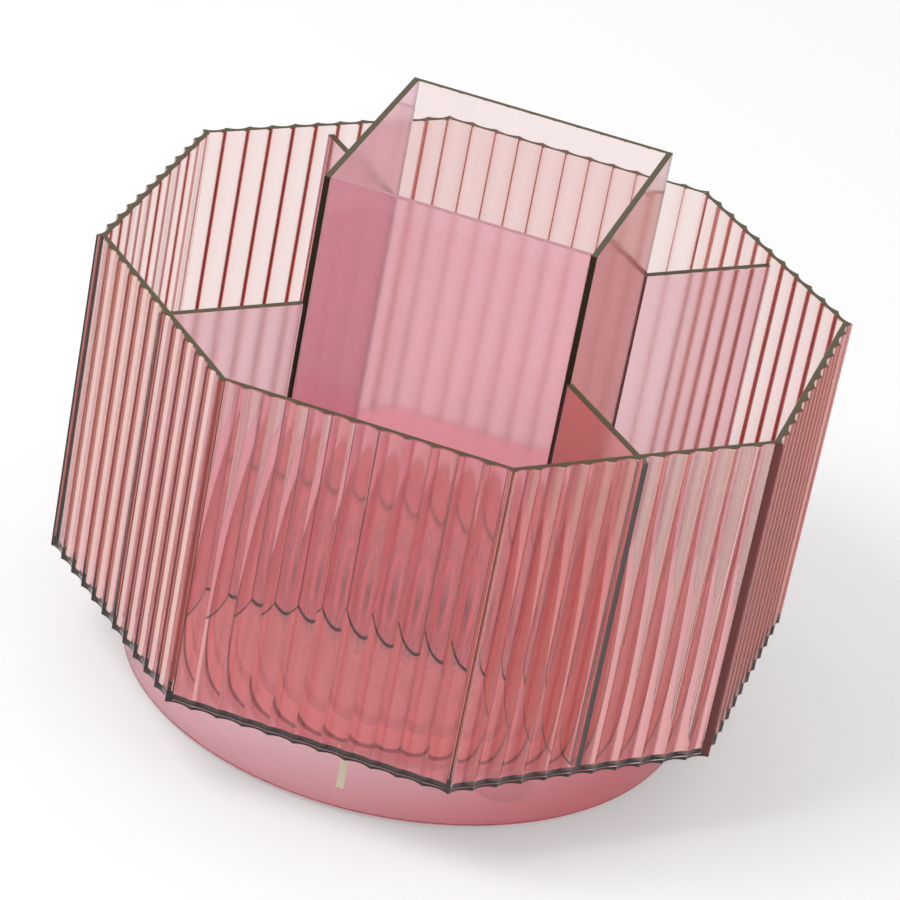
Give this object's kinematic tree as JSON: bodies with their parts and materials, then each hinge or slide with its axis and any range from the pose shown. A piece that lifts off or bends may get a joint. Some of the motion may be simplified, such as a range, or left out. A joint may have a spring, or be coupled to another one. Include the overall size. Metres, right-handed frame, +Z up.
{
  "type": "rotating pen holder",
  "caption": "Octagonal desk pen holder of clear rose acrylic with fluted panels round a taller square tube and dividers, turning freely on a low round base with a ball race.",
  "frame": {"origin": "on the desk surface, on the axis of rotation", "axes": "+Z up along the axis of rotation, -Y out through the front panel, +X to the right"},
  "size_m": [0.138, 0.138, 0.1146],
  "materials": {
    "rose_acrylic": "clear rose-tinted acrylic sheet, polished",
    "milky_rose_acrylic": "moulded milky rose acrylic, light shines through but shapes blur",
    "clear_glass": "polished clear glass balls",
    "clear_polycarbonate": "clear polycarbonate, punched or turned",
    "natural_acetal": "machined natural acetal",
    "clear_silicone": "translucent silicone rubber"
  },
  "bodies": {
    "base": {"base_ring": "milky_rose_acrylic", "base_deck": "milky_rose_acrylic", "base_plate": "milky_rose_acrylic", "pivot_bush": "natural_acetal", "foot_front_right": "clear_silicone", "foot_rear_right": "clear_silicone", "foot_rear_left": "clear_silicone", "foot_front_left": "clear_silicone"},
    "holder": {"front_panel": "rose_acrylic", "front_right_panel": "rose_acrylic", "right_panel": "rose_acrylic", "rear_right_panel": "rose_acrylic", "rear_panel": "rose_acrylic", "rear_left_panel": "rose_acrylic", "left_panel": "rose_acrylic", "front_left_panel": "rose_acrylic", "tube_front_wall": "rose_acrylic", "tube_right_wall": "rose_acrylic", "tube_rear_wall": "rose_acrylic", "tube_left_wall": "rose_acrylic", "front_right_divider": "rose_acrylic", "rear_right_divider": "rose_acrylic", "rear_left_divider": "rose_acrylic", "front_left_divider": "rose_acrylic", "floor_plate": "rose_acrylic", "turntable_disc": "milky_rose_acrylic", "pivot_pin": "clear_polycarbonate", "pivot_washer": "clear_polycarbonate", "pivot_screw": "clear_polycarbonate"},
    "ball_ring": {"ball_cage": "clear_polycarbonate", "bearing_balls": "clear_glass"}
  },
  "joints": [
    {"name": "turntable_spin", "type": "hinge", "parent": "base", "child": "holder", "pos_m": [0, 0, 0.01625], "axis": [0, 0, 1], "continuous": true},
    {"name": "ball_ring_spin", "type": "hinge", "parent": "base", "child": "ball_ring", "pos_m": [0, 0, 0.01625], "axis": [0, 0, 1], "continuous": true}
  ],
  "couplings": [
    {"joint": "ball_ring_spin", "follows": "turntable_spin", "ratio": 0.5}
  ]
}
